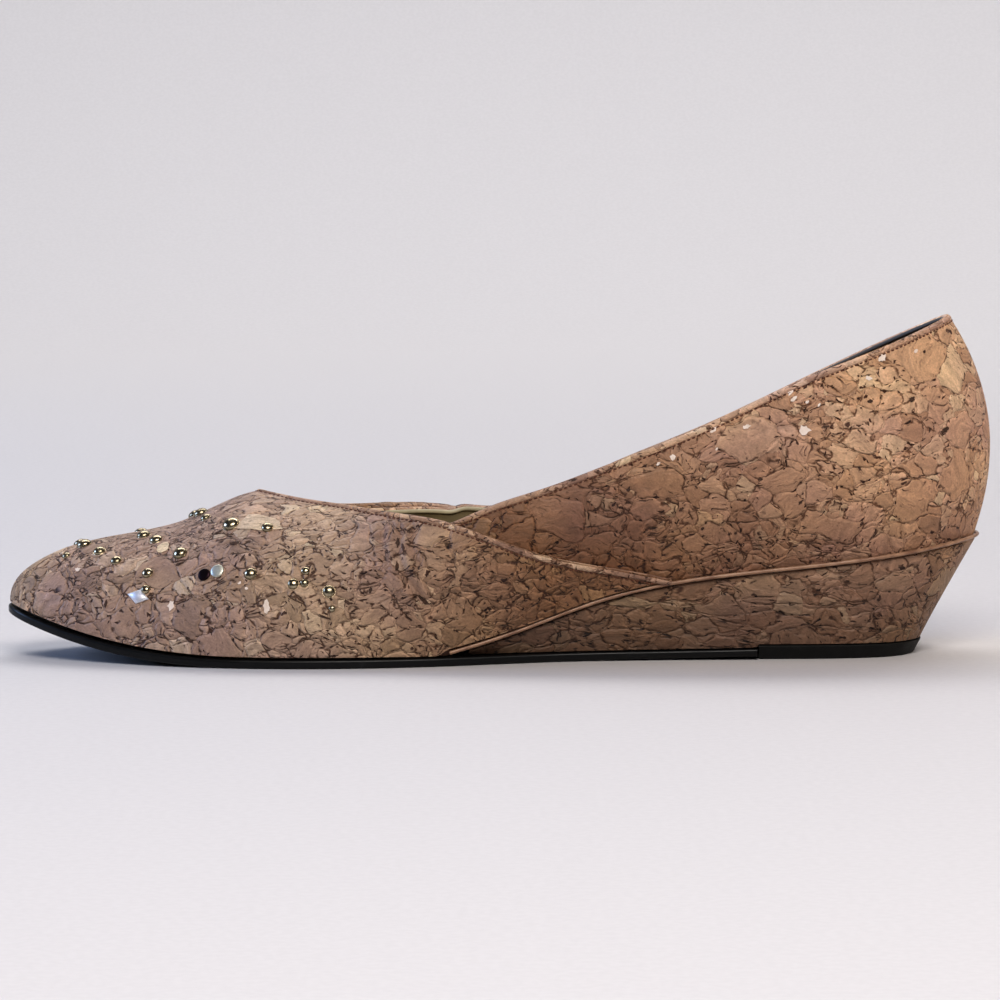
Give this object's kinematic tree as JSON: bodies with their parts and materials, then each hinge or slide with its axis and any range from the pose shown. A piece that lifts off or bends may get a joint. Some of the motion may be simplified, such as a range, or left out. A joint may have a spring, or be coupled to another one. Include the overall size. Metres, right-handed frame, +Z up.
{
  "type": "wedge court shoe",
  "caption": "Low wedge court shoe for the right foot, clad in pressed cork, with a pointed throat, metal studs on the vamp and a thin black sole.",
  "frame": {"origin": "centre of the bounding box at floor level", "axes": "+Z up from the floor, +X towards the heel, the toe points to -X, and -Y is the medial side of this right shoe"},
  "size_m": [0.2561, 0.078, 0.0872],
  "materials": {
    "cork": "pressed cork sheet, waxed",
    "lining": "matt",
    "piping": "satin",
    "outsole": "polished edge",
    "lift": "matt",
    "brass": "polished",
    "dark_brass": "tarnished",
    "stone": "pale faceted stone"
  },
  "bodies": {
    "root": {"upper": "cork", "vamp": "cork", "insole": "lining", "wedge": "cork", "wedge_piping": "piping", "outsole": "outsole", "heel_lift": "lift", "stud_01": "brass", "stud_02": "brass", "stud_03": "brass", "stud_04": "brass", "stud_05": "brass", "stud_06": "brass", "stud_07": "brass", "stud_08": "brass", "stud_09": "stone", "stud_10": "brass", "stud_11": "brass", "stud_12": "brass", "stud_13": "dark_brass", "stud_14": "brass", "stud_15": "brass", "stud_16": "brass", "stud_17": "brass", "stud_18": "brass", "stud_19": "brass", "stud_20": "brass", "stud_21": "brass", "stud_22": "brass", "stud_23": "brass", "stud_24": "brass", "stud_25": "brass", "stud_26": "brass", "stud_27": "brass", "stud_28": "brass", "stud_29": "brass", "stud_30": "brass", "stud_31": "stone", "stud_32": "brass", "stud_33": "brass", "stud_34": "brass", "stud_35": "dark_brass", "stud_36": "brass", "stud_37": "brass", "stud_38": "brass", "stud_39": "brass", "stud_40": "brass", "stud_41": "brass", "stud_42": "brass", "stud_43": "brass", "stud_44": "brass"}
  },
  "joints": []
}
